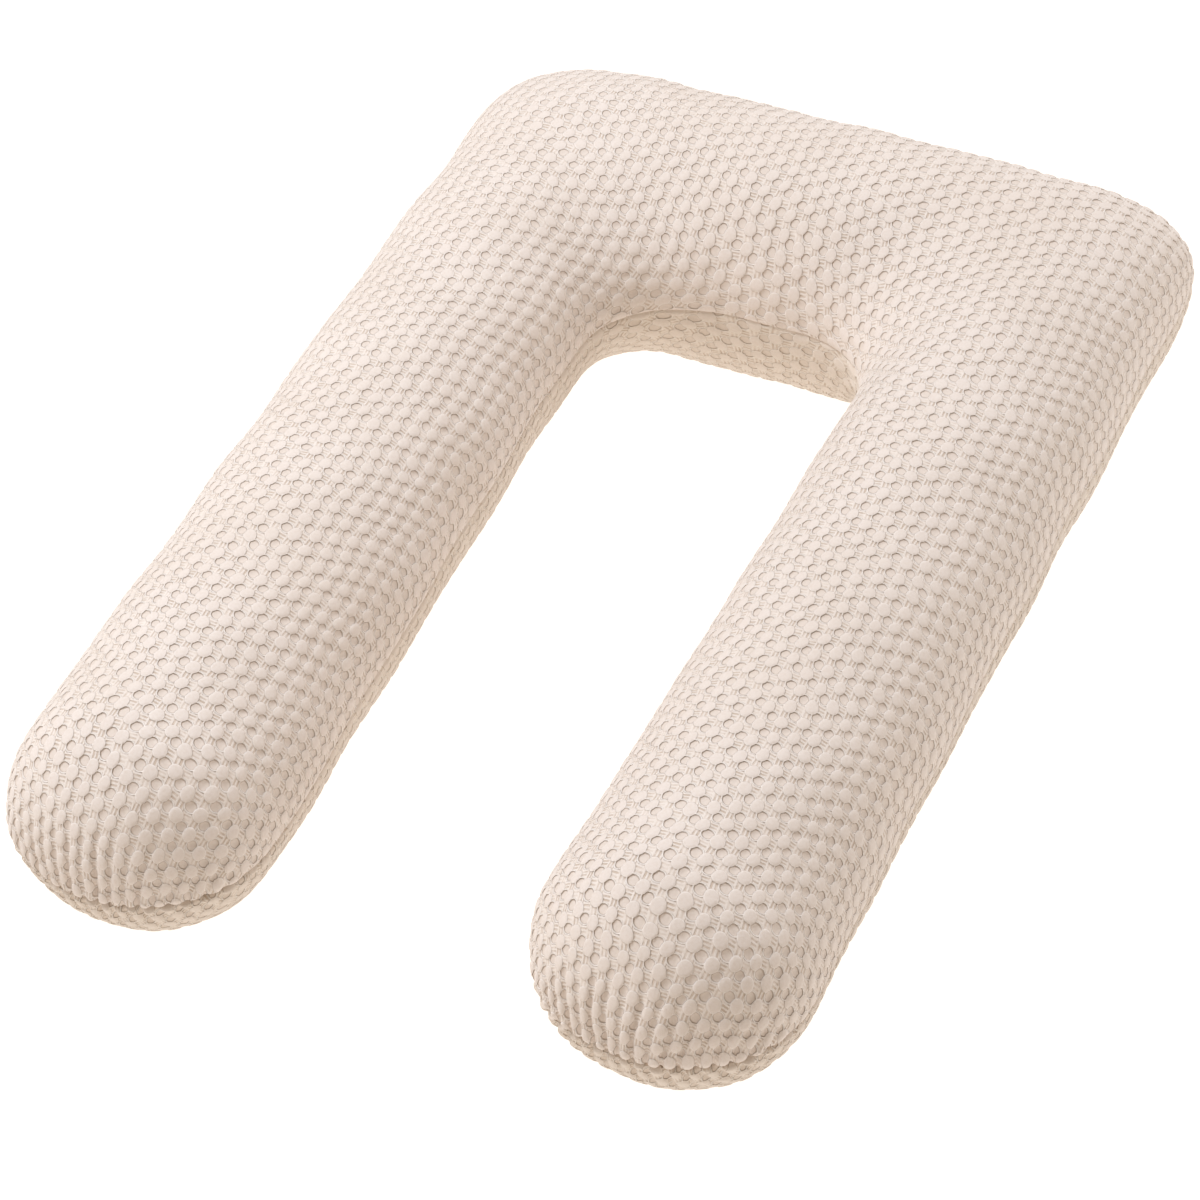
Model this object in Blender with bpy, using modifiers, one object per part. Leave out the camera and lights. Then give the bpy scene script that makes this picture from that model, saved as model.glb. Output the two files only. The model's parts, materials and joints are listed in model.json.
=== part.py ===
"""A U-shaped body pillow: one firmly stuffed cloth cover with a seam all round its side.

Metres, +Z up. The closed bar lies at +Y and the two legs run towards -Y. The pillow lies on z = 0, and
the origin is on that surface, under the middle of the pillow's box.
"""

import math
from collections import namedtuple

import bmesh
import bpy
from mathutils import Vector

# ---- Driving sizes, in metres ----

BAR_OUTER_Y = 0.1375        # far side of the bar, from the bar's own middle line
CROTCH_Y = -0.1365          # near side of the bar, between the legs
END_REACH = 0.116           # how far a leg's rounded end goes past its last full section
OUTER_FULLNESS = 1.8        # exponent of the underside's curve on the outer side
SEAM_DEPTH = 0.0055         # how far the seam is drawn in
PUCKER_RISE = 0.0032        # height of the gathers over the mean surface at a leg's end
PUCKERS_PER_END = 13
SUBDIVISIONS = 1            # of the cage

# Each leg as it was stuffed: the two differ a little. x is positive outwards on both sides, and
# tip_shift moves the very end of the leg sideways.
Leg = namedtuple(
    "Leg", "side end_x corner_x end_y tip_shift end_half_width corner_half_width outer_radius inner_radius"
)
LEGS = (
    Leg(+1, 0.2535, 0.2765, -0.916, -0.002, 0.1270, 0.127, 0.062, 0.093),
    Leg(-1, 0.2515, 0.2785, -0.937, 0.002, 0.1285, 0.126, 0.098, 0.101),
)

# Sections across one leg and half of the bar. share is how far along its stretch the section stands,
# rise and depth are the heights above and below the widest line, and the fullness of the underside on
# the crotch side is the exponent of its curve: 2 is an ellipse, and more is squarer. seam_rise is how
# far the seam on that side stands over the widest line.
Section = namedtuple("Section", "stretch share rise depth right_fullness left_fullness seam_rise")
SECTIONS = (
    Section("leg", 0.00, 0.1270, 0.1100, 1.80, 1.80, 0.000),
    Section("leg", 0.06, 0.1265, 0.1120, 1.80, 1.80, 0.000),
    Section("leg", 0.15, 0.1250, 0.1150, 1.80, 1.80, 0.000),
    Section("leg", 0.28, 0.1230, 0.1195, 1.80, 1.80, 0.000),
    Section("leg", 0.42, 0.1205, 0.1245, 1.80, 1.80, 0.000),
    Section("leg", 0.56, 0.1180, 0.1300, 1.80, 1.80, 0.000),
    Section("leg", 0.70, 0.1160, 0.1350, 1.85, 1.80, 0.000),
    Section("leg", 0.83, 0.1140, 0.1390, 1.95, 1.80, -0.002),
    Section("leg", 0.93, 0.1130, 0.1420, 2.20, 1.80, -0.004),
    Section("corner", 0.00, 0.1125, 0.1430, 2.45, 1.85, -0.006),
    Section("corner", 0.25, 0.1125, 0.1435, 2.60, 1.90, -0.006),
    Section("corner", 0.50, 0.1130, 0.1440, 2.70, 2.00, -0.006),
    Section("corner", 0.75, 0.1140, 0.1445, 2.75, 2.20, -0.006),
    Section("corner", 1.00, 0.1160, 0.1450, 2.80, 2.50, -0.006),
    Section("bar", 0.40, 0.1190, 0.1465, 2.80, 2.70, -0.006),
    Section("bar", 1.00, 0.1215, 0.1470, 2.80, 2.80, -0.006),
)

# Points of the cage from the crown down to the sole. reach is a share of the half width, level a share
# of the rise or the depth, inset a share of SEAM_DEPTH, and pucker a share of PUCKER_RISE.
Row = namedtuple("Row", "name reach level inset pucker")
ROWS = (
    Row("crown", 0.000, 1.000, 0.0, 0.0),
    Row("upper", 0.385, 0.923, 0.0, 0.0),
    Row("shoulder", 0.715, 0.700, 0.0, 0.1),
    Row("haunch", 0.925, 0.380, 0.0, 0.7),
    Row("lip", 1.000, 0.080, -0.2, 1.0),
    Row("seam", 1.000, 0.000, 1.0, 0.3),
    Row("tuck", 1.000, -0.080, 0.1, 0.3),
    Row("flank", 0.925, -0.380, 0.0, 0.0),
    Row("turn", 0.760, -0.650, 0.0, 0.0),
    Row("edge", 0.550, -0.830, 0.0, 0.0),
    Row("foot", 0.350, -0.930, 0.0, 0.0),
    Row("pad", 0.190, -0.930, 0.0, 0.0),
    Row("sole", 0.000, -0.930, 0.0, 0.0),
)
SOLE_LEVEL = ROWS[-1].level
SEAM_BAND = 0.1             # the seam and its two lips lie within this level
SWELL = 1.012               # makes up for what subdivision takes off the cage

CLOTH_COLOUR = (0.74, 0.63, 0.54, 1.0)
CLOTH_ROUGHNESS = 0.92

# A rib runs over the pillow's side from the spine, its highest line, out to the rim and in to the sole.
Rib = namedtuple("Rib", "spine rim section fullness seam_rise pucker")


def empty_scene():
    for old in list(bpy.data.objects):
        bpy.data.objects.remove(old, do_unlink=True)


def new_collection(name):
    made = bpy.data.collections.new(name)
    bpy.context.scene.collection.children.link(made)
    return made


def cloth_material():
    material = bpy.data.materials.new("cream_jacquard")
    material.use_nodes = True
    shader = material.node_tree.nodes["Principled BSDF"]
    shader.inputs["Base Color"].default_value = CLOTH_COLOUR
    shader.inputs["Roughness"].default_value = CLOTH_ROUGHNESS
    shader.inputs["Metallic"].default_value = 0.0
    return material


# ---- The outline in plan ----


def outline(end, corner, middle, radius):
    """Half of the U's outer or inner edge: a run along the leg, a rounded corner, a run along the bar.

    Returns the function that gives the point at a share of one of these stretches.
    """
    end, corner, middle = Vector(end), Vector(corner), Vector(middle)
    to_end = (end - corner).normalized()
    to_middle = (middle - corner).normalized()
    half_angle = to_end.angle(to_middle) / 2
    arc_start = corner + to_end * radius / math.tan(half_angle)
    arc_end = corner + to_middle * radius / math.tan(half_angle)
    centre = corner + (to_end + to_middle).normalized() * radius / math.sin(half_angle)
    first_spoke = (arc_start - centre).normalized()
    last_spoke = (arc_end - centre).normalized()

    def point(stretch, share):
        if stretch == "leg":
            return end.lerp(arc_start, share)
        if stretch == "bar":
            return arc_end.lerp(middle, share)
        return centre + first_spoke.slerp(last_spoke, share) * radius

    return point


def side_outlines(leg):
    """The outer and the inner outline of one side, with x positive outwards."""
    outer = outline(
        (leg.end_x + leg.end_half_width, leg.end_y),
        (leg.corner_x + leg.corner_half_width, BAR_OUTER_Y),
        (0.0, BAR_OUTER_Y),
        leg.outer_radius,
    )
    inner = outline(
        (leg.end_x - leg.end_half_width, leg.end_y),
        (leg.corner_x - leg.corner_half_width, CROTCH_Y),
        (0.0, CROTCH_Y),
        leg.inner_radius,
    )
    return outer, inner


# ---- The ribs ----


def end_ribs(leg):
    """The fan of ribs round a leg's end, from its outer to its inner side, two for each pucker."""
    section = SECTIONS[0]
    centre = Vector((leg.end_x, leg.end_y))
    steps = 2 * PUCKERS_PER_END
    ribs = []
    for step in range(1, steps):
        angle = math.pi * step / steps
        across = leg.end_half_width * math.cos(angle) + leg.tip_shift * math.sin(angle) ** 2
        rim = centre + Vector((across, -END_REACH * math.sin(angle)))
        height = math.sqrt(math.sin(angle))
        pucker = height if step % 2 else -height
        ribs.append(Rib(centre, rim, section, OUTER_FULLNESS, 0.0, pucker))
    return ribs


def side_ribs(leg):
    """One side's ribs from the middle of the bar's far edge, round the leg's end, to the crotch."""
    outer, inner = side_outlines(leg)
    outer_ribs, inner_ribs = [], []
    for section in SECTIONS:
        out_point = outer(section.stretch, section.share)
        in_point = inner(section.stretch, section.share)
        spine = (out_point + in_point) / 2
        outer_ribs.append(Rib(spine, out_point, section, OUTER_FULLNESS, 0.0, 0.0))
        fullness = section.right_fullness if leg.side > 0 else section.left_fullness
        inner_ribs.append(Rib(spine, in_point, section, fullness, section.seam_rise, 0.0))
    return outer_ribs[::-1] + end_ribs(leg) + inner_ribs


def to_world(rib, side):
    return rib._replace(
        spine=Vector((rib.spine.x * side, rib.spine.y)),
        rim=Vector((rib.rim.x * side, rib.rim.y)),
    )


def all_ribs():
    """Every rib once, in one loop round the pillow."""
    right, left = ([to_world(rib, leg.side) for rib in side_ribs(leg)] for leg in LEGS)
    return right + left[::-1][1:-1]


def rib_points(rib):
    """The cage's points on one rib, from crown to sole."""
    section = rib.section
    outwards = rib.rim - rib.spine
    half_width = outwards.length
    outwards = outwards / half_width
    floor = section.depth * SOLE_LEVEL
    points = []
    for row in ROWS:
        reach, level = row.reach, row.level
        if SOLE_LEVEL < level < -SEAM_BAND:
            level = -((1 - reach**rib.fullness) ** (1 / rib.fullness))
        height = level * (section.rise if level > 0 else section.depth)
        if abs(level) < SEAM_BAND:
            height += rib.seam_rise
        distance = reach * half_width - row.inset * SEAM_DEPTH + row.pucker * rib.pucker * PUCKER_RISE
        plan = rib.spine + outwards * distance * SWELL
        points.append((plan.x, plan.y, (height - floor) * (SWELL if level > 0 else 1.0)))
    return points


# ---- The stuffed cover ----


def build_cage(name):
    """The closed cage of the pillow: a loop of ribs, joined along the crown and the sole."""
    ribs = all_ribs()
    shape = bmesh.new()
    columns = []
    for rib in ribs:
        columns.append([shape.verts.new(point) for point in rib_points(rib)])
    for column, following in zip(columns, columns[1:] + columns[:1]):
        for row in range(len(ROWS) - 1):
            shape.faces.new((column[row], column[row + 1], following[row + 1], following[row]))
    bmesh.ops.remove_doubles(shape, verts=shape.verts, dist=1e-5)
    bmesh.ops.recalc_face_normals(shape, faces=shape.faces)
    mesh = bpy.data.meshes.new(name)
    shape.to_mesh(mesh)
    shape.free()
    return mesh


def centre_over_origin(mesh):
    """Puts the middle of the mesh's plan over the origin and its sole at z = 0."""
    lowest = Vector(min(v.co[axis] for v in mesh.vertices) for axis in range(3))
    highest = Vector(max(v.co[axis] for v in mesh.vertices) for axis in range(3))
    middle = (lowest + highest) / 2
    for vertex in mesh.vertices:
        vertex.co -= Vector((middle.x, middle.y, lowest.z))


def build_pillow(collection):
    mesh = build_cage("pillow")
    centre_over_origin(mesh)
    mesh.materials.append(cloth_material())
    mesh.shade_smooth()
    pillow = bpy.data.objects.new("pillow", mesh)
    collection.objects.link(pillow)
    soften = pillow.modifiers.new("soften", "SUBSURF")
    soften.levels = soften.render_levels = SUBDIVISIONS


def main():
    empty_scene()
    build_pillow(new_collection("body_pillow"))


main()
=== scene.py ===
"""The dressed U-shaped body pillow: two panels of cream bubble jacquard round a firm stuffing.

Metres, +Z up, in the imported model's frame: the closed bar lies at +Y and the two legs run towards -Y.
The stuffing is blown up from the solid as cloth, the panels are laid on it in ribs, each panel is laid
out flat to find how its pattern falls, and the pattern is then raised on it.
"""

import json
import math
from collections import namedtuple

import bmesh
import bpy
import numpy as np
from mathutils import Matrix, Vector
from mathutils.bvhtree import BVHTree

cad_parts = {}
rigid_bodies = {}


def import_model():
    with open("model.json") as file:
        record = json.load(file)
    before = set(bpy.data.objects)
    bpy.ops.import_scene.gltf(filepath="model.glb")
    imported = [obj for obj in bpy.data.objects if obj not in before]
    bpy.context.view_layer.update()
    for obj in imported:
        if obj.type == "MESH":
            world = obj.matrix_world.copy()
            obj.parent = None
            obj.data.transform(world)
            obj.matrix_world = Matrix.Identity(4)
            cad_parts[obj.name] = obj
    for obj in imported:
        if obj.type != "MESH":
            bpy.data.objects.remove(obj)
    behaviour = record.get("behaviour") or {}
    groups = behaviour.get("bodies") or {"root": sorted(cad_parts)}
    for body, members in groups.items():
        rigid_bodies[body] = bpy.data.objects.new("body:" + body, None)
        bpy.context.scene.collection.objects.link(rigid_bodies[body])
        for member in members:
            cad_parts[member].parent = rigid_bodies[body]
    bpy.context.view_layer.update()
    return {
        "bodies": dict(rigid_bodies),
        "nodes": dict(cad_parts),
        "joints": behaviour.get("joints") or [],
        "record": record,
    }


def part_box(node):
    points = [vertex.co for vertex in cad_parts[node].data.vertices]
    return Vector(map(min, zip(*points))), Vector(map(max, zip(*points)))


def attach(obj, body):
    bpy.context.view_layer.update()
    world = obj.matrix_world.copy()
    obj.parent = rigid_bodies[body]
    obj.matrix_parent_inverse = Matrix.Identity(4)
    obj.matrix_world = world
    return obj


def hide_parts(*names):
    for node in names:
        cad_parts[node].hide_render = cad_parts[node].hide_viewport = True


# ---- The pillow's plan, in metres, from the bar's own middle line ----

BAR_OUTER_Y = 0.1375
CROTCH_Y = -0.1365
END_REACH = 0.116
END_SEAM_Z = 0.1023         # height of the seam at a leg's end, and along the bar
BAR_SEAM_Z = 0.1345
CROTCH_SEAM_DROP = 0.006    # the seam in the crotch lies this much lower
CROTCH_SEAM_RUN = (0.7, 1.0)    # shares of the leg between which it comes down

Leg = namedtuple(
    "Leg", "side end_x corner_x end_y end_half_width corner_half_width outer_radius inner_radius"
)
LEFT_LEG = Leg(-1, 0.2515, 0.2785, -0.937, 0.1285, 0.126, 0.098, 0.101)
RIGHT_LEG = Leg(+1, 0.2535, 0.2765, -0.916, 0.1270, 0.127, 0.062, 0.093)

# ---- Least values: of a length or a place, and of a cell's squared area and summed normal ----

TINY, TINY_SQUARE, TINY_NORMAL = 1e-9, 1e-14, 1e-12

# ---- The stuffing ----

WELD = 1e-5                 # the solid's points closer than this are one
VOXEL = 0.007
SHRINK = 0.0003             # the form starts this much inside the solid
PRESSURE = 4.0
SWELL_FRAMES = 20
SWELL_QUALITY = 4           # steps of the cloth for each frame
SWELL_CAP = 0.010           # furthest that a point may move
SMOOTH_ROUNDS, SMOOTH_FACTOR = 10, 0.5

# Where the stuffing sits unevenly: a place in plan, how far around it is moved, and the way it is moved.
Bulge = namedtuple("Bulge", "x y reach push")
BULGES = (
    Bulge(-0.28, 0.45, 0.12, (0.010, 0.010, 0.005)),
    Bulge(-0.13, 0.33, 0.07, (-0.003, -0.009, -0.003)),
)

# ---- The grid on the stuffing ----

LEG_STEPS, CORNER_STEPS, BAR_STEPS = 144, 36, 40
FAN_STEPS = 96              # round a leg's end
ROWS = 32                   # from the spine to the seam
RAYS = 65                   # over the quarter turn from straight up, or down, to the rim
FLAT_STEP = 4               # the panel is laid out flat at every fourth line
FINE = 3                    # and the cover has this many lines to each one
TOP_ROWS, UNDER_ROWS = 84, 56
# Shares of a rib's length, from the seam, of the narrow rows beside it.
SEAM_ROWS = (0.0, 0.0035, 0.0075, 0.012, 0.0175, 0.024, 0.0315, 0.040)

# ---- How the cloth lies ----

FLATTEN_ROUNDS = 250
STRETCH_STIFFNESS = 1.0     # how much of a cell's stretch one round takes back
END_GATHER_STIFFNESS = 0.10 # and of its gather, at a leg's end
GATHER_STIFFNESS = 0.60     # and elsewhere
GATHER_CHANGE = (0.3, 0.9)  # shares of the leg between which the one passes into the other
ANCHOR, LEG_ANCHOR = 1e-6, 0.5  # how firmly the flat cloth keeps to the plan: anywhere, and on a leg's spine
LEG_ANCHOR_END = (1.05, 0.75)   # shares of the leg, from none of that second hold to the whole of it

# ---- The cloth's pattern ----

COLUMN_PITCH = 0.0172       # puffs stand in columns, each one half a pitch off its neighbours
PUFF_PITCH = 0.0202
PUFF_HALF_WIDTH, PUFF_HALF_LENGTH = 0.0060, 0.0070
PUFF_RISE = 0.0010
PUFF_UNEVENNESS = 0.25
PUFF_SLOPE = (1.16, 0.84)   # a puff rises between these shares of its size
PUFF_CROWN = 0.15           # its middle stands this share of the rise over its edge
PRESSED_SHARE = 0.65        # of the rise is left where the puffs face down and are pressed
PRESSED_FACING = (-0.1, -0.5)   # z of the surface's normal, from not pressed to pressed
SEAM_FADE = 0.0085          # the puffs flatten out over this distance from the seam
DIMPLE_COLUMN, DIMPLE_ROW = 0.46, -0.35     # where a dimple is from its puff, in pitches
DIMPLE_RADIUS = 0.0046
DIMPLE_DEPTH = 0.0008
DIMPLE_SLOPE = (1.25, 0.75) # a dimple sinks between these shares of its radius
LADDER_COLUMNS, LADDER_ROWS = 5, 6          # rungs of the open ladder for each pitch
SOLE_LIFT = 0.0012          # the cloth between the pressed puffs clears the floor by this much
SOLE_FACING = (-0.8, -0.97) # z of the surface's normal, from the flank to the sole

# ---- Folds and seam ----

FOLD_START = 1.08           # gathers taken up by the cloth itself, before it folds
FOLD_LIMIT = 0.0028
FOLD_CREST, FOLD_CREASE = 0.3, 1.3      # a crest's height and its crease's depth, in sizes of the fold
FOLD_SHARPNESS = 4.0
FOLD_FADE = 0.004           # a fold fades out over this distance from the seam
LEAST_CREASE, CREASE_RANGE = 0.5, 1.1   # share of its depth that a crease always has, and what chance adds
PUFF_KEEPING = 0.6          # how far a puff keeps its own width on a fold, while its gap is swallowed
SIDE_SEAM_SHARE = 0.30      # of the gathered seam is left at the sides of a leg's end
SIDE_SEAM_FADE = 0.75       # sine of the angle round the end at which the whole of it is reached
SEAM_RUN = 0.10             # and the seam is the plain one after this share of the leg
END_GROOVE, PLAIN_GROOVE = 0.0055, 0.0017
END_GROOVE_WIDTH, PLAIN_GROOVE_WIDTH = 0.0021, 0.0015
LIP_RISE, LIP_PLACE, LIP_WIDTH = 0.0020, 0.0055, 0.0050
LIP_DROP = 0.0026           # how far the upper panel's lip hangs over the seam
LIP_DROP_PLACE, LIP_DROP_WIDTH = 0.0030, 0.0025
SCALLOP, SCALLOP_WIDTH = 0.0009, 0.0070     # the seam dips at each fold's crest

# ---- Steady random numbers, from the sine of a puff's or a crease's place ----

PUFF_LOT = (12.9898, 78.233, 43758.5453)    # factors of its column, of its row and of the sine
CREASE_LOT = (37.719, 9631.417)             # factors of its column and of the sine

# ---- Colours ----

PUFF_COLOUR = (0.795, 0.710, 0.650)
GROUND_COLOUR = (0.790, 0.700, 0.634)
# Painted highlight on the rims of puffs and dimples; the same light colour also marks the ladder's threads.
RIM_HIGHLIGHT_AND_THREAD_COLOUR = (0.930, 0.860, 0.800)
# Painted shade: the dark tan of the ladder's gaps, of the line round each puff's foot and of the ring inside
# each dimple's rim.
CREVICE_SHADE_COLOUR = (0.550, 0.410, 0.295)
# Painted shade: the dimples' floors, a little darker and tanner than the ground.
DIMPLE_SHADE_COLOUR = (0.752, 0.658, 0.588)
SHADE_COLOUR = (0.690, 0.580, 0.485)

# Painted shade: the lower panel's colours are a shade darker and tanner than the upper one's, for the
# underside and the crotch wall, which lie in shade.
UPPER_TINT = (1.0, 1.0, 1.0)
LOWER_PAINTED_SHADE = (0.935, 0.920, 0.880)

# ---- The photograph's camera ----

PHOTO_SIDE = 1200           # pixels
FOCAL_PIXELS = 3138.5
SENSOR = 36.0               # millimetres
AZIMUTH, ELEVATION, ROLL = 26.26, 43.85, -2.78      # degrees
DISTANCE = 2.972
TARGET = (0.0144, -0.0711, 0.1069)
CENTRE_X, CENTRE_Y = 8.6, -12.7                     # pixels that the picture's centre is shifted by


# ---- Plan ----


Rib = namedtuple("Rib", "spine rim seam_z")


def outline(end, corner, middle, radius):
    """Half of the U's outer or inner edge, from the leg's end round the corner to the bar's middle."""
    end, corner, middle = Vector(end), Vector(corner), Vector(middle)
    to_end = (end - corner).normalized()
    to_middle = (middle - corner).normalized()
    half_angle = to_end.angle(to_middle) / 2
    arc_start = corner + to_end * radius / math.tan(half_angle)
    arc_end = corner + to_middle * radius / math.tan(half_angle)
    centre = corner + (to_end + to_middle).normalized() * radius / math.sin(half_angle)
    first_spoke = (arc_start - centre).normalized()
    last_spoke = (arc_end - centre).normalized()
    leg = [end.lerp(arc_start, step / LEG_STEPS) for step in range(LEG_STEPS)]
    bend = [
        centre + first_spoke.slerp(last_spoke, step / CORNER_STEPS) * radius for step in range(CORNER_STEPS)
    ]
    bar = [arc_end.lerp(middle, step / BAR_STEPS) for step in range(BAR_STEPS + 1)]
    return leg + bend + bar


def placed(point, side, middle):
    return Vector((middle[0] + side * point.x, middle[1] + point.y))


def side_sections(leg, middle):
    """A leg's and half the bar's sections, each a rib to the outer and a rib to the inner seam."""
    outer = outline(
        (leg.end_x + leg.end_half_width, leg.end_y),
        (leg.corner_x + leg.corner_half_width, BAR_OUTER_Y),
        (0.0, BAR_OUTER_Y),
        leg.outer_radius,
    )
    inner = outline(
        (leg.end_x - leg.end_half_width, leg.end_y),
        (leg.corner_x - leg.corner_half_width, CROTCH_Y),
        (0.0, CROTCH_Y),
        leg.inner_radius,
    )
    sections = []
    for number, (out_point, in_point) in enumerate(zip(outer, inner)):
        share = min(1.0, number / LEG_STEPS)
        seam_z = END_SEAM_Z + (BAR_SEAM_Z - END_SEAM_Z) * share
        drop = CROTCH_SEAM_DROP * smoothstep(*CROTCH_SEAM_RUN, share)
        spine = placed((out_point + in_point) / 2, leg.side, middle)
        out_rib = Rib(spine, placed(out_point, leg.side, middle), seam_z)
        in_rib = Rib(spine, placed(in_point, leg.side, middle), seam_z - drop)
        sections.append((out_rib, in_rib))
    return sections


def end_fan(leg, middle):
    """Ribs round a leg's end, from its outer to its inner side."""
    centre = Vector((leg.end_x, leg.end_y))
    ribs = []
    for step in range(FAN_STEPS + 1):
        angle = math.pi * step / FAN_STEPS
        rim = centre + Vector((leg.end_half_width * math.cos(angle), -END_REACH * math.sin(angle)))
        ribs.append(Rib(placed(centre, leg.side, middle), placed(rim, leg.side, middle), END_SEAM_Z))
    return ribs


def smoothstep(low, high, value):
    share = np.clip((value - low) / (high - low), 0.0, 1.0)
    return share * share * (3 - 2 * share)


# ---- The stuffing ----


def mesh_points(mesh):
    points = np.empty(len(mesh.vertices) * 3)
    mesh.vertices.foreach_get("co", points)
    return points.reshape(-1, 3)


def evaluated_copy(piece):
    graph = bpy.context.evaluated_depsgraph_get()
    return bpy.data.meshes.new_from_object(piece.evaluated_get(graph), depsgraph=graph).copy()


def shrunken_solid(node):
    """A copy of the solid, welded and moved inwards, in an object of its own."""
    shape = bmesh.new()
    shape.from_mesh(node.data)
    bmesh.ops.remove_doubles(shape, verts=shape.verts, dist=WELD)
    shape.normal_update()
    for vertex in shape.verts:
        vertex.co -= vertex.normal * SHRINK
    mesh = bpy.data.meshes.new("stuffing")
    shape.to_mesh(mesh)
    shape.free()
    stuffing = bpy.data.objects.new("stuffing", mesh)
    bpy.context.scene.collection.objects.link(stuffing)
    return stuffing


def swell(stuffing):
    """Blows the form up as cloth under an even pressure, and moves each point at most SWELL_CAP."""
    start = mesh_points(stuffing.data)
    cloth = stuffing.modifiers.new("swell", "CLOTH")
    cloth.settings.use_pressure = True
    cloth.settings.uniform_pressure_force = PRESSURE
    cloth.settings.effector_weights.gravity = 0.0
    cloth.settings.quality = SWELL_QUALITY
    cloth.point_cache.frame_start = 1
    cloth.point_cache.frame_end = SWELL_FRAMES
    for frame in range(1, SWELL_FRAMES + 1):
        bpy.context.scene.frame_set(frame)
    swollen = mesh_points(evaluated_copy(stuffing))
    stuffing.modifiers.remove(cloth)
    bpy.context.scene.frame_set(1)
    move = swollen - start
    length = np.linalg.norm(move, axis=1, keepdims=True)
    capped = start + move * np.minimum(1.0, SWELL_CAP / np.maximum(length, TINY))
    stuffing.data.vertices.foreach_set("co", capped.ravel())


def bulge(points):
    """Moves the stuffing a little where it is uneven, with its sole left on the floor."""
    height = points[:, 2].max()
    moved = points.copy()
    for spot in BULGES:
        away = np.hypot(points[:, 0] - spot.x, points[:, 1] - spot.y)
        share = np.exp(-((away / spot.reach) ** 2) / 2)[:, None]
        rise = np.stack((np.ones(len(points)), np.ones(len(points)), points[:, 2] / height), axis=1)
        moved += share * rise * spot.push
    return moved


def stuffing_tree(node):
    """The stuffed form that the cover lies on, ready for rays."""
    stuffing = shrunken_solid(node)
    remesh = stuffing.modifiers.new("remesh", "REMESH")
    remesh.mode = "VOXEL"
    remesh.voxel_size = VOXEL
    stuffing.data = evaluated_copy(stuffing)
    stuffing.modifiers.clear()
    swell(stuffing)
    smooth = stuffing.modifiers.new("smooth", "SMOOTH")
    smooth.factor = SMOOTH_FACTOR
    smooth.iterations = SMOOTH_ROUNDS
    mesh = evaluated_copy(stuffing)
    points = bulge(mesh_points(mesh))
    points[:, 2] = np.maximum(points[:, 2], 0.0)
    mesh.vertices.foreach_set("co", points.ravel())
    shape = bmesh.new()
    shape.from_mesh(mesh)
    tree = BVHTree.FromBMesh(shape)
    shape.free()
    bpy.data.objects.remove(stuffing)
    return tree


# ---- Grids on the stuffing ----


def lay_rib(tree, rib, upwards):
    """Points on the stuffing from a rib's spine to its seam, evenly spaced, and the rib's length."""
    origin = Vector((rib.spine.x, rib.spine.y, rib.seam_z))
    outwards = (rib.rim - rib.spine).normalized()
    hits = []
    for angle in np.linspace(0.0, math.pi / 2, RAYS):
        reach, rise = math.sin(angle), math.cos(angle) * upwards
        ray = Vector((outwards.x * reach, outwards.y * reach, rise))
        hits.append(tree.ray_cast(origin, ray)[0])
    hits = np.array(hits)
    run = np.concatenate(([0.0], np.cumsum(np.linalg.norm(np.diff(hits, axis=0), axis=1))))
    even = np.linspace(0.0, run[-1], ROWS + 1)
    return np.column_stack([np.interp(even, run, hits[:, axis]) for axis in range(3)])


Panel = namedtuple("Panel", "run left_fan right_fan")


def lay_panel(tree, sections, left_fan, right_fan, upwards):
    """The panel's three grids: the run round the U, from outer to inner seam, and the two leg ends."""
    run = []
    for out_rib, in_rib in sections:
        outer = lay_rib(tree, out_rib, upwards)
        inner = lay_rib(tree, in_rib, upwards)
        run.append(np.vstack((outer[::-1], inner[1:])))
    fans = [np.array([lay_rib(tree, rib, upwards) for rib in fan]) for fan in (left_fan, right_fan)]
    return Panel(np.array(run), *fans)


def run_lengths(points):
    """Metres along each of the grid's ribs, from its first point."""
    steps = np.linalg.norm(np.diff(points, axis=1), axis=2)
    return np.concatenate((np.zeros((len(steps), 1)), np.cumsum(steps, axis=1)), axis=1)


def flat_start(points):
    """A first guess of the flat cloth: the plan, moved out square to the seam by what each rib is longer."""
    plan = points[..., :2]
    seam = np.gradient(plan[:, -1], axis=0)
    outwards = np.stack((seam[:, 1], -seam[:, 0]), axis=1)
    outwards /= np.linalg.norm(outwards, axis=1, keepdims=True)
    outwards *= np.sign((outwards * (plan[:, -1] - plan[:, 0])).sum(axis=1, keepdims=True))
    extra = run_lengths(points) - np.linalg.norm(plan - plan[:, :1], axis=2)
    return plan + outwards[:, None] * extra[..., None]


def number_vertices(run_shape, fan_shape):
    """Vertex numbers of the three grids, with the ones on shared ribs and at a fan's centre merged."""
    count = run_shape[0] * run_shape[1]
    run = np.arange(count).reshape(run_shape)
    middle = run_shape[1] // 2
    fans = []
    for section in (run[0], run[-1]):
        fan = np.zeros(fan_shape, int)
        inside = (fan_shape[0] - 2) * (fan_shape[1] - 1)
        fan[1:-1, 1:] = count + np.arange(inside).reshape(fan_shape[0] - 2, -1)
        count += inside
        fan[0] = section[middle::-1]
        fan[-1] = section[middle:]
        fan[:, 0] = section[middle]
        fans.append(fan)
    return Panel(run, *fans), count


def grid_triangles(numbers):
    """Every cell's four corners, each as a triangle with its two neighbours."""
    a, b, c, d = (corner.ravel() for corner in grid_corners(numbers))
    triangles = np.vstack([np.stack(trio, axis=1) for trio in ((a, b, d), (b, c, a), (c, d, b), (d, a, c))])
    first, second, third = triangles.T
    return triangles[(first != second) & (second != third) & (third != first)]


def grid_corners(numbers):
    return numbers[:-1, :-1], numbers[:-1, 1:], numbers[1:, 1:], numbers[1:, :-1]


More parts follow.
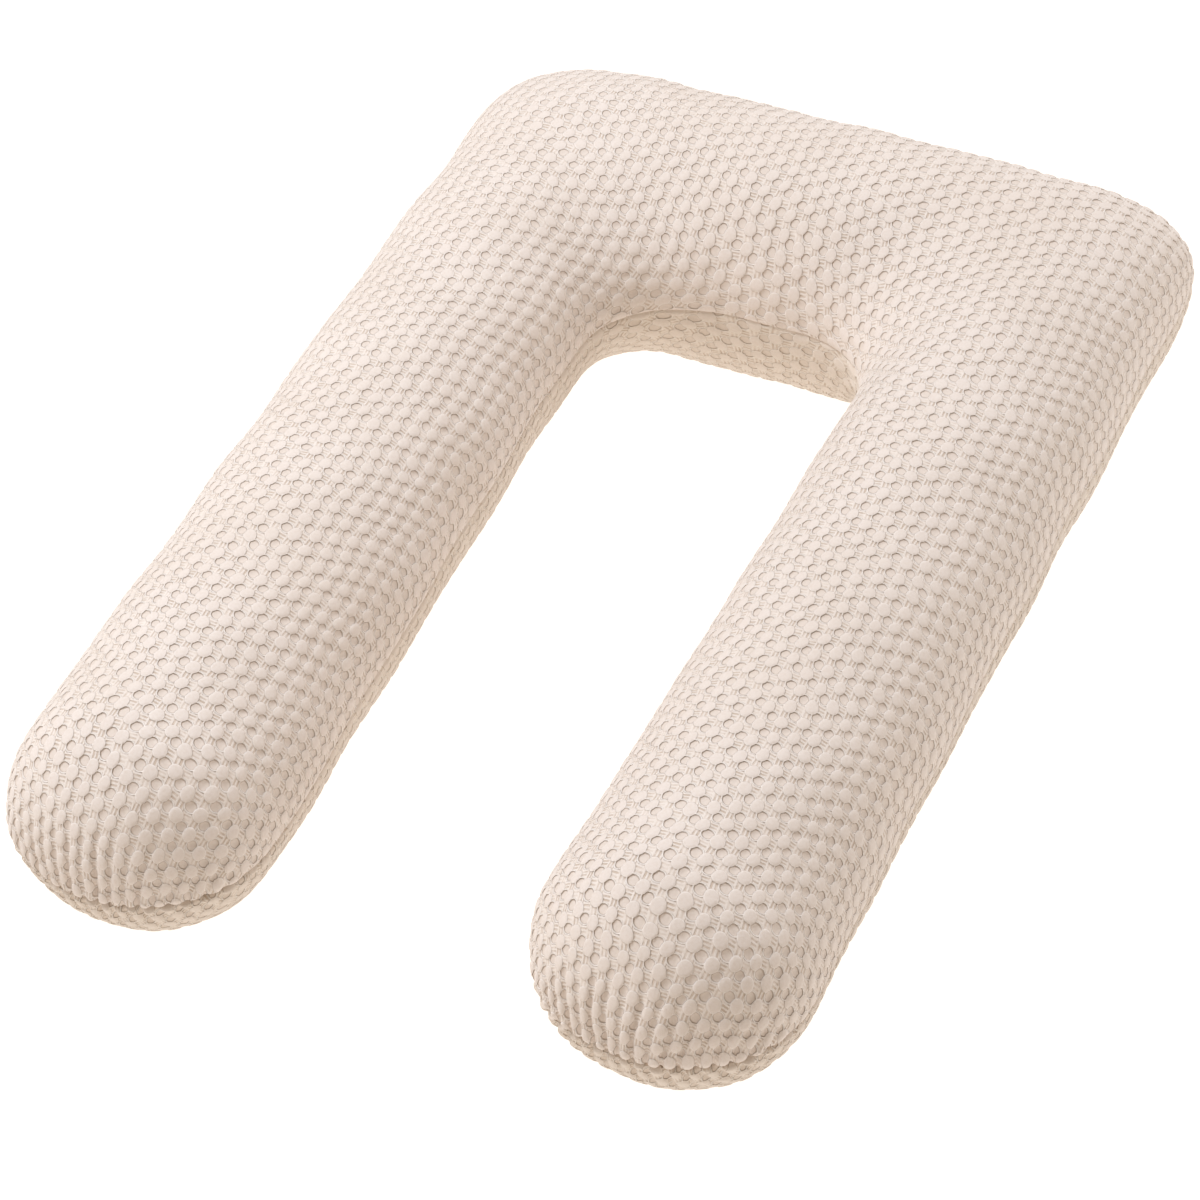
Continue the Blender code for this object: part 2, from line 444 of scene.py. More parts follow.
def flatten(points, start, triangles, gather_stiffness, anchors):
    """Lays the panel out flat as it was cut: its cloth may have been gathered, but hardly stretched.

    Places in the plane are complex numbers. Each round turns every triangle's slopes into the nearest
    ones that the cloth allows, and then finds the places that fit them all best.
    """
    first, second, third = triangles.T
    base, side = points[second] - points[first], points[third] - points[first]
    width = np.linalg.norm(base, axis=1)
    shift = (base * side).sum(axis=1) / width
    height = np.linalg.norm(np.cross(base, side), axis=1) / width
    area = width * height / 2
    along = np.stack((-1 / width, 1 / width, np.zeros(len(width))))
    across = np.stack(((shift / width - 1) / height, -shift / (width * height), 1 / height))
    system = np.diag(anchors)
    for row in range(3):
        for column in range(3):
            share = area * (along[row] * along[column] + across[row] * across[column])
            np.add.at(system, (triangles[:, row], triangles[:, column]), share)
    inverse = np.linalg.inv(system)
    flat = start
    for _ in range(FLATTEN_ROUNDS):
        corners = (flat @ (1, 1j))[triangles.T]
        slope_along, slope_across = (along * corners).sum(axis=0), (across * corners).sum(axis=0)
        turn, skew = (slope_along - 1j * slope_across) / 2, (slope_along + 1j * slope_across) / 2
        turn_size, skew_size = np.maximum(np.abs(turn), TINY), np.maximum(np.abs(skew), TINY)
        most, least = (
            size + np.where(size < 1, STRETCH_STIFFNESS, gather_stiffness) * (1 - size)
            for size in (turn_size + skew_size, turn_size - skew_size)
        )
        turn *= (most + least) / 2 / turn_size
        skew *= (most - least) / 2 / skew_size
        pull = area * (along * (turn + skew) + across * 1j * (turn - skew))
        load = anchors[:, None] * start
        for row in range(3):
            load[:, 0] += np.bincount(triangles[:, row], pull[row].real, len(points))
            load[:, 1] += np.bincount(triangles[:, row], pull[row].imag, len(points))
        flat = inverse @ load
    return flat


def column_gather(points, flat):
    """How many metres of cloth, across its columns, lie on each metre of the surface."""
    along, down = np.gradient(points, axis=0), np.gradient(points, axis=1)
    u_along, u_down = np.gradient(flat[..., 0], axis=0), np.gradient(flat[..., 0], axis=1)
    aa, dd, ad = (along**2).sum(-1), (down**2).sum(-1), (along * down).sum(-1)
    area = np.maximum(aa * dd - ad**2, TINY_SQUARE)
    square = (dd * u_along**2 - 2 * ad * u_along * u_down + aa * u_down**2) / area
    return np.sqrt(np.maximum(square, 0.0))


def resample(grid, places, axis):
    """The grid's values at fractional places along one axis, on smooth curves through its points."""
    grid = np.moveaxis(grid, axis, 0)
    ends = np.concatenate((2 * grid[:1] - grid[1:2], grid, 2 * grid[-1:] - grid[-2:-1]))
    low = np.clip(np.floor(places + TINY).astype(int), 0, len(grid) - 2)
    share = (places - low).reshape((-1,) + (1,) * (grid.ndim - 1))
    p0, p1, p2, p3 = (ends[low + shift] for shift in range(4))
    curve = p1 + share / 2 * (
        p2 - p0 + share * (2 * p0 - 5 * p1 + 4 * p2 - p3 + share * (3 * (p1 - p2) + p3 - p0))
    )
    return np.moveaxis(curve, 0, axis)


# ---- The cover's relief ----


def nearest_puff(column, row):
    """Metres to the nearest point of the puffs' pattern, and a steady random number for that point."""
    by_column, by_row, by_sine = PUFF_LOT
    best = None
    for shift in (0, 1):
        column_number = 2 * np.round((column - shift) / 2) + shift
        row_number = np.round(row - shift / 2) + shift / 2
        across = (column - column_number) * COLUMN_PITCH
        along = (row - row_number) * PUFF_PITCH
        square = (across / PUFF_HALF_WIDTH) ** 2 + (along / PUFF_HALF_LENGTH) ** 2
        lot = np.sin(column_number * by_column + row_number * by_row) * by_sine
        found = np.stack((square, across, along, lot - np.floor(lot)))
        best = found if best is None else np.where(found[0] < best[0], found, best)
    return best[1], best[2], best[3]


def bubble_height(column, row):
    across, along, lot = nearest_puff(column, row)
    reach = np.hypot(across / PUFF_HALF_WIDTH, along / PUFF_HALF_LENGTH)
    rise = PUFF_RISE * (1 + PUFF_UNEVENNESS * (2 * lot - 1))
    on_puff = smoothstep(*PUFF_SLOPE, reach) * (1 + PUFF_CROWN - PUFF_CROWN * reach)
    across, along, _ = nearest_puff(column - DIMPLE_COLUMN, row - DIMPLE_ROW)
    reach = np.hypot(across, along) / DIMPLE_RADIUS
    return rise * on_puff - DIMPLE_DEPTH * smoothstep(*DIMPLE_SLOPE, reach) * (1 - on_puff)


# Long waves that unsettle the pattern and the surface: length and size in metres, heading in degrees.
Wave = namedtuple("Wave", "length heading phase size")
PATTERN_WAVES = (
    Wave(0.21, 20, 0.3, 0.0016),
    Wave(0.13, 105, 1.9, 0.0012),
    Wave(0.075, 60, 4.1, 0.0007),
    Wave(0.043, 140, 1.1, 0.0007),
)
SURFACE_WAVES = (Wave(0.19, 75, 2.2, 0.0009), Wave(0.11, 150, 0.8, 0.0007), Wave(0.07, 30, 5.0, 0.0004))


def waves(table, u, v):
    total = 0.0
    for wave in table:
        heading = math.radians(wave.heading)
        place = (u * math.cos(heading) + v * math.sin(heading)) / wave.length
        total = total + wave.size * np.sin(2 * math.pi * place + wave.phase)
    return total


def column_lot(column):
    """A steady random number for each crease between two columns."""
    by_column, by_sine = CREASE_LOT
    lot = np.sin(np.floor(column) * by_column) * by_sine
    return lot - np.floor(lot)


def fold_height(column, gather):
    """The folds that take up gathered cloth: a rounded crest on each column, a crease between two."""
    pitch = COLUMN_PITCH / np.maximum(gather, 1.0)
    size = pitch / math.pi * np.sqrt(np.maximum(gather - FOLD_START, 0.0))
    depth = np.minimum(size, FOLD_LIMIT) * (LEAST_CREASE + CREASE_RANGE * column_lot(column))
    return size * FOLD_CREST - FOLD_CREASE * depth * np.abs(np.sin(math.pi * column)) ** FOLD_SHARPNESS


def seam_height(distance, gathered):
    """The seam's groove, and at a gathered seam the lip over it."""
    depth = PLAIN_GROOVE + (END_GROOVE - PLAIN_GROOVE) * gathered
    width = PLAIN_GROOVE_WIDTH + (END_GROOVE_WIDTH - PLAIN_GROOVE_WIDTH) * gathered
    lip = LIP_RISE * gathered * np.exp(-(((distance - LIP_PLACE) / LIP_WIDTH) ** 2))
    return lip - depth * np.exp(-((distance / width) ** 2))


# ---- The cover ----


def fine_rows(rows):
    """Places of the cover's rows on a rib, from spine to seam, in steps of the grid on the stuffing."""
    first = SEAM_ROWS[-1]
    shares = list(SEAM_ROWS[:-1]) + list(np.linspace(first, 1.0, rows - len(SEAM_ROWS) + 2))
    return (1.0 - np.array(shares[::-1])) * ROWS


def lay_flat(panel):
    """The panel's cloth coordinates, with the numbers of its three grids' points."""
    coarse = Panel(*(grid[::FLAT_STEP, ::FLAT_STEP] for grid in panel))
    middle = coarse.run.shape[1] // 2
    outer, inner = flat_start(coarse.run[:, middle::-1]), flat_start(coarse.run[:, middle:])
    run = np.concatenate((outer[:, ::-1], inner[:, 1:]), axis=1)
    start = (run, flat_start(coarse.left_fan), flat_start(coarse.right_fan))
    numbers, count = number_vertices(coarse.run.shape[:2], coarse.left_fan.shape[:2])
    points, guess = np.empty((count, 3)), np.empty((count, 2))
    # The run comes last, and so has the say on the ribs that it shares with the fans.
    for grid, laid, number in reversed(list(zip(coarse, start, numbers))):
        points[number] = grid
        guess[number] = laid
    # The right end's ribs turn the other way round than the left end's.
    run, left_fan, right_fan = (grid_triangles(grid) for grid in numbers)
    triangles = np.vstack((run, left_fan, right_fan[:, ::-1]))
    place = np.empty(count)
    place[numbers.left_fan] = place[numbers.right_fan] = 0.0
    lines = np.arange(len(numbers.run))
    place[numbers.run] = np.minimum(lines, lines[::-1])[:, None] * FLAT_STEP / LEG_STEPS
    share = smoothstep(*GATHER_CHANGE, place[triangles].mean(axis=1))
    stiffness = END_GATHER_STIFFNESS + (GATHER_STIFFNESS - END_GATHER_STIFFNESS) * share
    anchors = np.full(count, ANCHOR)
    spine = numbers.run[:, middle]
    anchors[spine] += LEG_ANCHOR * smoothstep(*LEG_ANCHOR_END, place[spine])
    return numbers, flatten(points, guess, triangles, stiffness, anchors)


def panel_grids(panel, numbers, flat, rows):
    """Each grid's place, flat cloth and gather, at the cover's fine points."""
    down = fine_rows(rows)
    both = np.concatenate((ROWS - down[::-1], ROWS + down[1:]))
    grids = []
    for grid, number, places in zip(panel, numbers, (both, down, down)):
        laid = flat[number]
        gather = column_gather(grid[::FLAT_STEP, ::FLAT_STEP], laid)
        if number is not numbers.run:
            # A fan's ribs all start in one point, which takes its gather from the ring round it.
            gather[:, 0] = gather[:, 1].mean()
        lines = np.arange(FINE * (len(grid) - 1) + 1) / FINE
        fine_points = resample(resample(grid, lines, 0), places, 1)
        from_plan = laid - grid[::FLAT_STEP, ::FLAT_STEP, :2]
        cloth = np.concatenate((from_plan, gather[..., None]), axis=2)
        cloth = resample(resample(cloth, lines / FLAT_STEP, 0), places / FLAT_STEP, 1)
        cloth[..., :2] += fine_points[..., :2]
        grids.append((fine_points, cloth))
    return grids


def seam_distances(points, from_middle):
    """Metres along each rib from its seam, for a grid whose middle or first column is the spine."""
    run = run_lengths(points)
    to_last = run[:, -1:] - run
    return np.minimum(run, to_last) if from_middle else to_last


def grid_quads(numbers, flip):
    quads = np.stack([corner.ravel() for corner in grid_corners(numbers)], axis=1)
    return quads[:, ::-1] if flip else quads


def vertex_normals(points, quads):
    diagonal = points[quads[:, 2]] - points[quads[:, 0]]
    other = points[quads[:, 3]] - points[quads[:, 1]]
    facing = np.cross(diagonal, other)
    total = np.zeros_like(points)
    for corner in range(4):
        for axis in range(3):
            total[:, axis] += np.bincount(quads[:, corner], facing[:, axis], len(points))
    return total / np.maximum(np.linalg.norm(total, axis=1, keepdims=True), TINY_NORMAL)


def gathered_shares(lines, along_legs):
    """How much of the gathered seam each line of a grid has: along the U, or round a leg's end."""
    order = np.arange(lines)
    if along_legs:
        along = np.minimum(order, order[::-1]) / (FINE * LEG_STEPS)
        return SIDE_SEAM_SHARE * smoothstep(SEAM_RUN, 0.0, along)
    round_end = np.sin(math.pi * order / order[-1])
    return SIDE_SEAM_SHARE + (1 - SIDE_SEAM_SHARE) * smoothstep(0.0, SIDE_SEAM_FADE, round_end)


def build_panel(tree, sections, fans, upwards, rows):
    """One panel of the cover: its points, normals and cloth coordinates, and its faces by section."""
    panel = lay_panel(tree, sections, *fans, upwards)
    coarse_numbers, flat = lay_flat(panel)
    grids = panel_grids(panel, coarse_numbers, flat, rows)
    numbers, count = number_vertices(grids[0][0].shape[:2], grids[1][0].shape[:2])
    points, cloth = np.empty((count, 3)), np.empty((count, 3))
    distance, gathered = np.empty(count), np.empty(count)
    # Here too the run comes last.
    for place in (2, 1, 0):
        fine_points, fine_cloth = grids[place]
        number = numbers[place]
        points[number], cloth[number] = fine_points, fine_cloth
        distance[number] = seam_distances(fine_points, place == 0)
        gathered[number] = gathered_shares(len(number), place == 0)[:, None]
    underneath = upwards < 0
    quads = [
        grid_quads(numbers.run, underneath),
        grid_quads(numbers.left_fan, underneath),
        grid_quads(numbers.right_fan, not underneath),
    ]
    u, v = cloth[:, 0], cloth[:, 1]
    column = (u + waves(PATTERN_WAVES, u, v)) / COLUMN_PITCH
    row = (v + waves(PATTERN_WAVES, v, u)) / PUFF_PITCH
    normals = vertex_normals(points, np.vstack(quads))
    swallowed = PUFF_KEEPING * (1 - 1 / np.maximum(cloth[:, 2], 1.0))
    column = column - swallowed * np.sin(2 * math.pi * column) / (2 * math.pi)
    height = bubble_height(column, row) * smoothstep(0.0, SEAM_FADE, distance)
    height *= 1 - (1 - PRESSED_SHARE) * smoothstep(*PRESSED_FACING, normals[:, 2])
    height += fold_height(column, cloth[:, 2]) * smoothstep(0.0, FOLD_FADE, distance)
    height += seam_height(distance, gathered)
    height += waves(SURFACE_WAVES, points[:, 0], points[:, 1])
    height -= SOLE_LIFT * smoothstep(*SOLE_FACING, normals[:, 2])
    points = points + normals * height[:, None]
    crest = 0.5 + 0.5 * np.cos(2 * math.pi * column)
    points[:, 2] -= SCALLOP * gathered * crest * np.exp(-((distance / SCALLOP_WIDTH) ** 2))
    if upwards > 0:
        from_lip = (distance - LIP_DROP_PLACE) / LIP_DROP_WIDTH
        points[:, 2] -= LIP_DROP * gathered * np.exp(-(from_lip**2))
    points[:, 2] = np.maximum(points[:, 2], 0.0)
    normals = vertex_normals(points, np.vstack(quads))
    return points, normals, np.column_stack((column, row)), quads


def make_piece(name, quads, points, normals, pattern, material):
    """A mesh object of some of a panel's faces."""
    used, corners = np.unique(quads, return_inverse=True)
    corners = corners.reshape(-1, 4)
    # A cell at a fan's centre has its first and last corners in one point, and the last is left out.
    keep = np.ones(corners.shape, bool)
    keep[:, 3] = corners[:, 0] != corners[:, 3]
    sizes = keep.sum(axis=1)
    loops = corners[keep]
    mesh = bpy.data.meshes.new(name)
    mesh.vertices.add(len(used))
    mesh.vertices.foreach_set("co", points[used].ravel())
    mesh.loops.add(len(loops))
    mesh.loops.foreach_set("vertex_index", loops)
    mesh.polygons.add(len(sizes))
    mesh.polygons.foreach_set("loop_start", np.concatenate(([0], np.cumsum(sizes)[:-1])))
    mesh.update(calc_edges=True)
    mesh.shade_smooth()
    mesh.normals_split_custom_set_from_vertices(normals[used])
    cells = pattern[used]
    low, high = cells.min(axis=0), cells.max(axis=0)
    for map_name, values in (("cloth", cells), ("OFBake", (cells - low) / (high - low))):
        layer = mesh.uv_layers.new(name=map_name)
        layer.data.foreach_set("uv", values[loops].ravel())
    mesh.materials.append(material)
    piece = bpy.data.objects.new(name, mesh)
    bpy.context.scene.collection.objects.link(piece)
    return piece


# ---- Material ----

# How far from the middle of a puff or a dimple a feature of the cloth is, in sizes of that puff or dimple:
# first where there is none of it, and then where there is the whole of it.
ON_PUFF, IN_DIMPLE = (1.06, 0.94), (1.10, 0.88)
OFF_PUFF, OFF_DIMPLE = (1.03, 1.09), (1.34, 1.42)

# Rings round a puff or a dimple: where a ring runs, and how far from there is none and the whole of it.
Ring = namedtuple("Ring", "place none whole")
PUFF_RIM, PUFF_EDGE = Ring(0.95, 0.10, 0.02), Ring(1.09, 0.10, 0.03)
DIMPLE_RIM, DIMPLE_EDGE = Ring(1.22, 0.17, 0.06), Ring(0.97, 0.15, 0.04)

# The open ladder's reach, in pitches from the line midway between two columns, first where there is none
# of it, and the values of its wave that are thread and gap.
BETWEEN_COLUMNS, BETWEEN_PUFFS = (0.21, 0.16), (0.24, 0.29)
THREAD_TO_GAP = (-0.2, 0.5)
THREAD_CLEARANCE = 1.6      # how much of the light threads a gap takes away

# A noise, and what its values from low to high are turned into.
Noise = namedtuple("Noise", "scale detail low high first last")
LADDER_NOISE = Noise(110.0, 2.0, 0.35, 0.65, 0.25, 1.0)
SPECKLE_NOISE = Noise(420.0, 2.0, 0.35, 0.72, 0.0, 0.28)
DRIFT_NOISE = Noise(7.0, 2.0, 0.35, 0.75, 0.0, 0.22)
WEAVE_NOISE = Noise(700.0, 3.0, 0.2, 0.8, 0.80, 0.95)

# The colours that are laid over the ground, in this order, and how strongly.
Layer = namedtuple("Layer", "feature share colour")
LAYERS = (
    Layer("puff", 1.0, PUFF_COLOUR),
    # Painted shade on the dimples' floors.
    Layer("dimple", 1.0, DIMPLE_SHADE_COLOUR),
    Layer("threads", 0.42, RIM_HIGHLIGHT_AND_THREAD_COLOUR),
    # Painted shade in the ladder's gaps.
    Layer("gaps", 0.66, CREVICE_SHADE_COLOUR),
    # Painted shade: a dark line round each puff's foot and a dark ring just inside each dimple's rim.
    Layer("puff_edge", 0.20, CREVICE_SHADE_COLOUR),
    Layer("dimple_edge", 0.38, CREVICE_SHADE_COLOUR),
    # Painted highlight: light rings on the rims of puffs and dimples.
    Layer("puff_rim", 0.60, RIM_HIGHLIGHT_AND_THREAD_COLOUR),
    Layer("dimple_rim", 0.95, RIM_HIGHLIGHT_AND_THREAD_COLOUR),
    Layer("speckle", 1.0, SHADE_COLOUR),
    Layer("drift", 1.0, SHADE_COLOUR),
)
# The heights in metres that features have over the mesh.
BUMPS = {"puff": 0.0006, "dimple": -0.0008, "dimple_rim": 0.0006, "gaps": -0.0006, "weave": 0.00035}
SHEEN, SHEEN_ROUGHNESS, SPECULAR = 0.15, 0.5, 0.25

MIX_FIRST, MIX_SECOND, MIX_RESULT = 6, 7, 2     # a mix node's sockets for colours


class Graph:
    """Short names for a material's nodes, with a tint over its colours; the lower panel's tint is painted
    shade.
    """

    def __init__(self, name, tint):
        self.tint = tint
        self.material = bpy.data.materials.new(name)
        self.material.use_nodes = True
        self.nodes = self.material.node_tree.nodes
        self.links = self.material.node_tree.links
        self.shader = self.nodes["Principled BSDF"]

    def put(self, socket, value):
        if isinstance(value, bpy.types.NodeSocket):
            self.links.new(value, socket)
        else:
            socket.default_value = value

    def math(self, operation, *values):
        node = self.nodes.new("ShaderNodeMath")
        node.operation = operation
        for socket, value in zip(node.inputs, values):
            self.put(socket, value)
        return node.outputs[0]

    def ramp(self, value, low, high, start=0.0, end=1.0):
        node = self.nodes.new("ShaderNodeMapRange")
        node.interpolation_type = "SMOOTHSTEP"
        for name, given in (
            ("Value", value),
            ("From Min", low),
            ("From Max", high),
            ("To Min", start),
            ("To Max", end),
        ):
            self.put(node.inputs[name], given)
        return node.outputs[0]

    def ring(self, value, ring):
        away = self.math("ABSOLUTE", self.math("SUBTRACT", value, ring.place))
        return self.ramp(away, ring.none, ring.whole)

    def mix(self, share, first, second):
        node = self.nodes.new("ShaderNodeMix")
        node.data_type = "RGBA"
        self.put(node.inputs["Factor"], share)
        for socket, colour in ((node.inputs[MIX_FIRST], first), (node.inputs[MIX_SECOND], second)):
            if not isinstance(colour, bpy.types.NodeSocket):
                colour = (*(level * shade for level, shade in zip(colour, self.tint)), 1.0)
            self.put(socket, colour)
        return node.outputs[MIX_RESULT]

    def noise(self, vector, kind):
        node = self.nodes.new("ShaderNodeTexNoise")
        self.put(node.inputs["Vector"], vector)
        node.inputs["Scale"].default_value = kind.scale
        node.inputs["Detail"].default_value = kind.detail
        return node.outputs["Fac"]

    def turned(self, noise, kind):
        """The noise's values, turned into the ones that its kind asks for."""
        return self.ramp(noise, kind.low, kind.high, kind.first, kind.last)


def pattern_reach(graph, column, row, half_width, half_length):
    """How far a place is from the nearest point of the pattern, 1 at the edge of what stands there."""
    found = []
    for shift in (0.0, 1.0):
        across = graph.math("WRAP", graph.math("SUBTRACT", column, shift), 1.0, -1.0)
        along = graph.math("WRAP", graph.math("SUBTRACT", row, shift / 2), 0.5, -0.5)
        across = graph.math("MULTIPLY", across, COLUMN_PITCH / half_width)
        along = graph.math("MULTIPLY", along, PUFF_PITCH / half_length)
        square = graph.math("MULTIPLY", along, along)
        found.append(graph.math("MULTIPLY_ADD", across, across, square))
    return graph.math("SQRT", graph.math("MINIMUM", *found))


def ladder_gaps(graph, column, row):
    """The gaps between the ladder's rungs: across between two columns, and along between two puffs."""
    aside = graph.math("ABSOLUTE", graph.math("SUBTRACT", graph.math("FRACT", column), 0.5))
    rungs = graph.math("SINE", graph.math("MULTIPLY", row, 2 * math.pi * LADDER_ROWS))
    rails = graph.math("SINE", graph.math("MULTIPLY", column, 2 * math.pi * LADDER_COLUMNS))
    rungs = graph.math("MULTIPLY", graph.ramp(aside, *BETWEEN_COLUMNS), graph.ramp(rungs, *THREAD_TO_GAP))
    rails = graph.math("MULTIPLY", graph.ramp(aside, *BETWEEN_PUFFS), graph.ramp(rails, *THREAD_TO_GAP))
    return graph.math("ADD", rungs, rails)


def cloth_features(graph):
    """How much of each of the cloth's features is at a place, from its map of columns and rows."""
    pattern = graph.nodes.new("ShaderNodeUVMap")
    pattern.uv_map = "cloth"
    parts = graph.nodes.new("ShaderNodeSeparateXYZ")
    graph.put(parts.inputs[0], pattern.outputs[0])
    column, row = parts.outputs[0], parts.outputs[1]
    place = graph.nodes.new("ShaderNodeTexCoord").outputs["Object"]

    puff = pattern_reach(graph, column, row, PUFF_HALF_WIDTH, PUFF_HALF_LENGTH)
    from_column = graph.math("SUBTRACT", column, DIMPLE_COLUMN)
    from_row = graph.math("SUBTRACT", row, DIMPLE_ROW)
    dimple = pattern_reach(graph, from_column, from_row, DIMPLE_RADIUS, DIMPLE_RADIUS)
    on_puff = graph.ramp(puff, *ON_PUFF)
    off_puff = graph.math("SUBTRACT", 1.0, on_puff)
    ground = graph.math("MULTIPLY", graph.ramp(puff, *OFF_PUFF), graph.ramp(dimple, *OFF_DIMPLE))
    uneven = graph.turned(graph.noise(place, LADDER_NOISE), LADDER_NOISE)
    gaps = graph.math("MULTIPLY", graph.math("MULTIPLY", ladder_gaps(graph, column, row), ground), uneven)
    return {
        "puff": on_puff,
        "puff_rim": graph.ring(puff, PUFF_RIM),
        "puff_edge": graph.ring(puff, PUFF_EDGE),
        "dimple": graph.math("MULTIPLY", graph.ramp(dimple, *IN_DIMPLE), off_puff),
        "dimple_rim": graph.math("MULTIPLY", graph.ring(dimple, DIMPLE_RIM), off_puff),
        "dimple_edge": graph.math("MULTIPLY", graph.ring(dimple, DIMPLE_EDGE), off_puff),
        "gaps": gaps,
        "threads": graph.math("SUBTRACT", ground, graph.math("MULTIPLY", gaps, THREAD_CLEARANCE)),
        "speckle": graph.turned(graph.noise(place, SPECKLE_NOISE), SPECKLE_NOISE),
        "drift": graph.turned(graph.noise(place, DRIFT_NOISE), DRIFT_NOISE),
        "weave": graph.noise(place, WEAVE_NOISE),
    }


def cloth_material(name, tint):
    graph = Graph(name, tint)
    features = cloth_features(graph)
    colour = GROUND_COLOUR
    for layer in LAYERS:
        share = graph.math("MULTIPLY", features[layer.feature], layer.share)
        colour = graph.mix(share, colour, layer.colour)
    graph.put(graph.shader.inputs["Base Color"], colour)
    height = 0.0
    for feature, metres in BUMPS.items():
        height = graph.math("MULTIPLY_ADD", features[feature], metres, height)
    bump = graph.nodes.new("ShaderNodeBump")
    bump.inputs["Distance"].default_value = 1.0
    bump.inputs["Strength"].default_value = 1.0
    graph.put(bump.inputs["Height"], height)
    graph.put(graph.shader.inputs["Normal"], bump.outputs[0])
    graph.put(graph.shader.inputs["Roughness"], graph.turned(features["weave"], WEAVE_NOISE))
    graph.shader.inputs["Sheen Weight"].default_value = SHEEN
    graph.shader.inputs["Sheen Roughness"].default_value = SHEEN_ROUGHNESS
    graph.shader.inputs["Specular IOR Level"].default_value = SPECULAR
    return graph.material


# ---- Stage ----

FLOOR_SIDE = 120.0          # so wide that no edge of it shows
FLOOR_CLEARANCE = 0.0002
FLOOR_COLOUR, FLOOR_ROUGHNESS = (0.12, 0.12, 0.12), 0.9
FLOOR_GLOW, FLOOR_GLOW_COLOUR = 1.12, (1.0, 0.93, 0.86)
SKY, SKY_COLOUR = 0.44, (1.0, 0.86, 0.72)


def add_floor():
    bpy.ops.mesh.primitive_plane_add(size=FLOOR_SIDE, location=(0.0, 0.0, -FLOOR_CLEARANCE))
    floor = bpy.context.object
    floor.name = "floor"
    material = bpy.data.materials.new("pale_floor")
    material.use_nodes = True
    shader = material.node_tree.nodes["Principled BSDF"]
    shader.inputs["Base Color"].default_value = (*FLOOR_COLOUR, 1.0)
    shader.inputs["Roughness"].default_value = FLOOR_ROUGHNESS
    shader.inputs["Specular IOR Level"].default_value = 0.0
    shader.inputs["Emission Color"].default_value = (*FLOOR_GLOW_COLOUR, 1.0)
    shader.inputs["Emission Strength"].default_value = FLOOR_GLOW
    floor.data.materials.append(material)


# Soft round lights that face the pillow: azimuth from the legs' side to the right, and height, in degrees.
Studio = namedtuple("Studio", "name azimuth elevation size power colour")
LIGHT_AIM, LIGHT_DISTANCE = (0.0, 0.0, 0.1), 3.8
LIGHTS = (
    Studio("key", 270, 64, 1.5, 113.0, (0.87, 0.93, 1.02)),
    Studio("back", 135, 20, 1.8, 47.0, (0.85, 0.91, 1.0)),
    Studio("front", 315, 22, 1.8, 17.0, (0.85, 0.91, 1.0)),
)


def from_azimuth(azimuth, elevation):
    azimuth, elevation = math.radians(azimuth), math.radians(elevation)
    level = math.cos(elevation)
    return Vector((math.sin(azimuth) * level, -math.cos(azimuth) * level, math.sin(elevation)))


def add_light(studio):
    data = bpy.data.lights.new(studio.name, "AREA")
    data.shape = "DISK"
    data.size = studio.size
    data.energy = studio.power
    data.color = studio.colour
    light = bpy.data.objects.new(studio.name, data)
    towards = from_azimuth(studio.azimuth, studio.elevation)
    light.location = Vector(LIGHT_AIM) + towards * LIGHT_DISTANCE
    light.rotation_euler = towards.to_track_quat("Z", "Y").to_euler()
    bpy.context.scene.collection.objects.link(light)


def add_world():
    world = bpy.data.worlds.new("studio")
    world.use_nodes = True
    background = world.node_tree.nodes["Background"]
    background.inputs["Color"].default_value = (*SKY_COLOUR, 1.0)
    background.inputs["Strength"].default_value = SKY
    bpy.context.scene.world = world


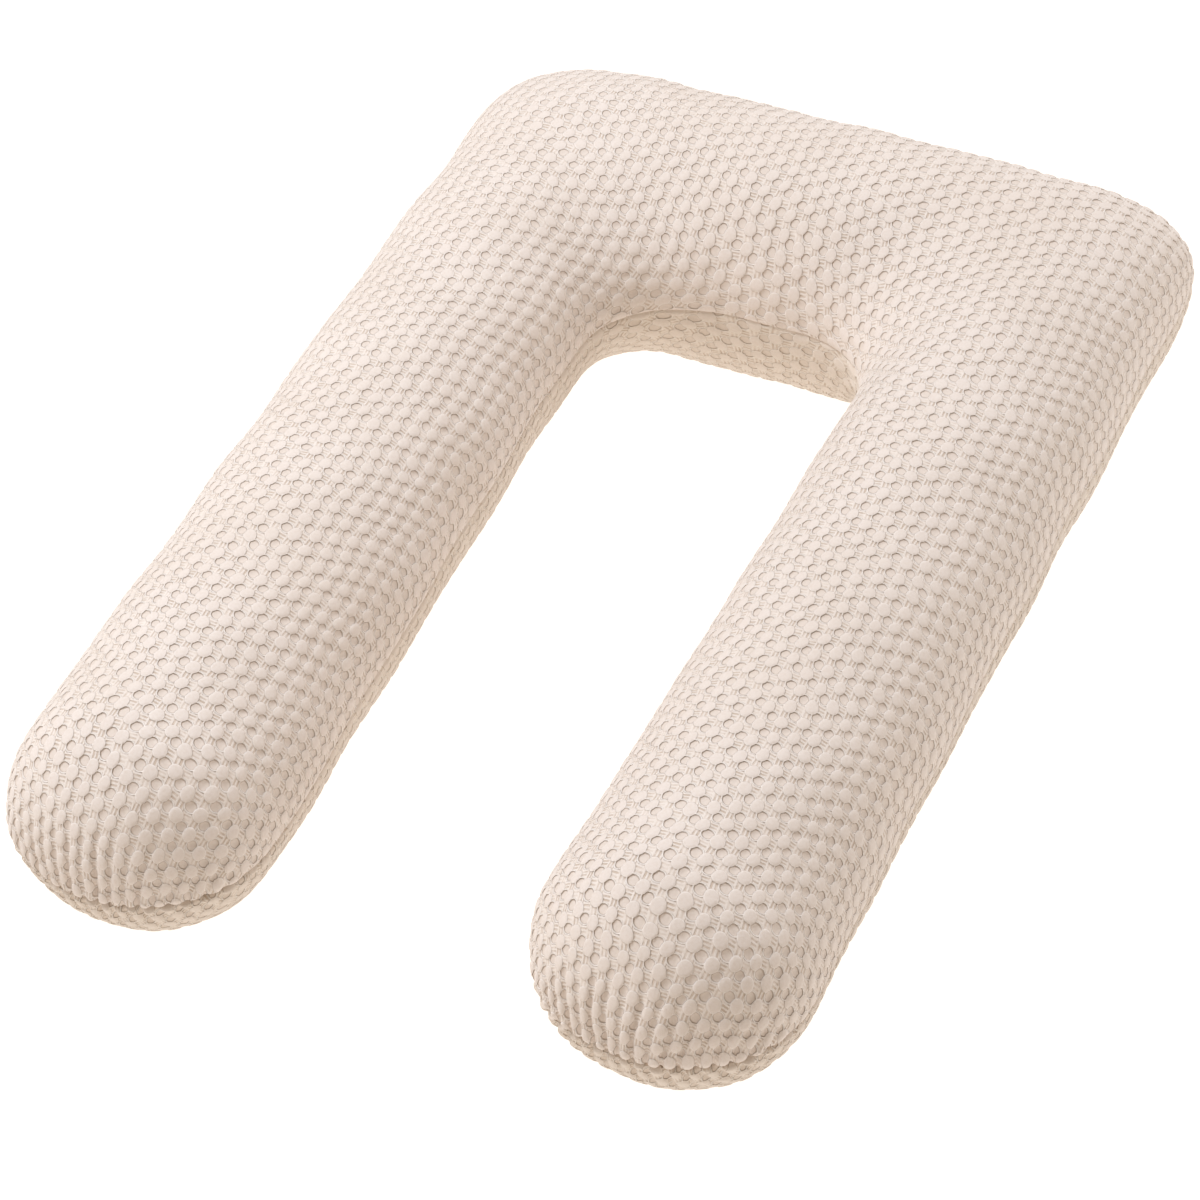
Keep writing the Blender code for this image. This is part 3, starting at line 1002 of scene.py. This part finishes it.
def add_camera():
    back = from_azimuth(AZIMUTH, ELEVATION)
    roll = math.radians(ROLL)
    level_right = (-back).cross(Vector((0, 0, 1))).normalized()
    level_up = level_right.cross(-back)
    right = level_right * math.cos(roll) + level_up * math.sin(roll)
    up = level_up * math.cos(roll) - level_right * math.sin(roll)
    data = bpy.data.cameras.new("camera")
    data.sensor_width = SENSOR
    data.lens = SENSOR * FOCAL_PIXELS / PHOTO_SIDE
    data.shift_x = -CENTRE_X / PHOTO_SIDE
    data.shift_y = CENTRE_Y / PHOTO_SIDE
    camera = bpy.data.objects.new("camera", data)
    camera.matrix_world = Matrix.Translation(Vector(TARGET) + back * DISTANCE) @ Matrix(
        (right, up, back)
    ).transposed().to_4x4()
    bpy.context.scene.collection.objects.link(camera)
    bpy.context.scene.camera = camera


# ---- The scene ----

# The pieces of each panel: shares of the way round the U from the left leg's end to the right one's, and
# whether the cloth round a leg's end goes with them.
Part = namedtuple("Part", "name first last left_end right_end")
TOP_PARTS = (
    Part("cover_top_left", 0.0, 0.30, True, False),
    Part("cover_top_bar", 0.30, 0.70, False, False),
    Part("cover_top_right", 0.70, 1.0, False, True),
)
UNDER_PARTS = (
    Part("cover_under_left", 0.0, 0.50, True, False),
    Part("cover_under_right", 0.50, 1.0, False, True),
)


def add_cover(tree, box):
    middle = ((box[0].x + box[1].x) / 2, box[1].y - BAR_OUTER_Y)
    left, right = side_sections(LEFT_LEG, middle), side_sections(RIGHT_LEG, middle)
    sections = left + right[::-1][1:]
    fans = (end_fan(LEFT_LEG, middle), end_fan(RIGHT_LEG, middle))
    # The lower panel's material has painted shade in all its colours.
    upper, lower = cloth_material("upper_jacquard", UPPER_TINT), cloth_material("lower_jacquard_painted_shade", LOWER_PAINTED_SHADE)
    panels = ((1, TOP_ROWS, TOP_PARTS, upper), (-1, UNDER_ROWS, UNDER_PARTS, lower))
    for upwards, rows, parts, material in panels:
        points, normals, pattern, quads = build_panel(tree, sections, fans, upwards, rows)
        run, left_fan, right_fan = quads
        by_section = run.reshape(FINE * (len(sections) - 1), -1, 4)
        for part in parts:
            first, last = (round(share * len(by_section)) for share in (part.first, part.last))
            chosen = [by_section[first:last].reshape(-1, 4)]
            if part.left_end:
                chosen.append(left_fan)
            if part.right_end:
                chosen.append(right_fan)
            piece = make_piece(part.name, np.vstack(chosen), points, normals, pattern, material)
            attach(piece, "root")
            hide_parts("pillow")


def main():
    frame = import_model()
    bpy.context.scene.view_settings.view_transform = "Standard"
    add_world()
    add_floor()
    for studio in LIGHTS:
        add_light(studio)
    add_camera()
    add_cover(stuffing_tree(frame["nodes"]["pillow"]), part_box("pillow"))


main()
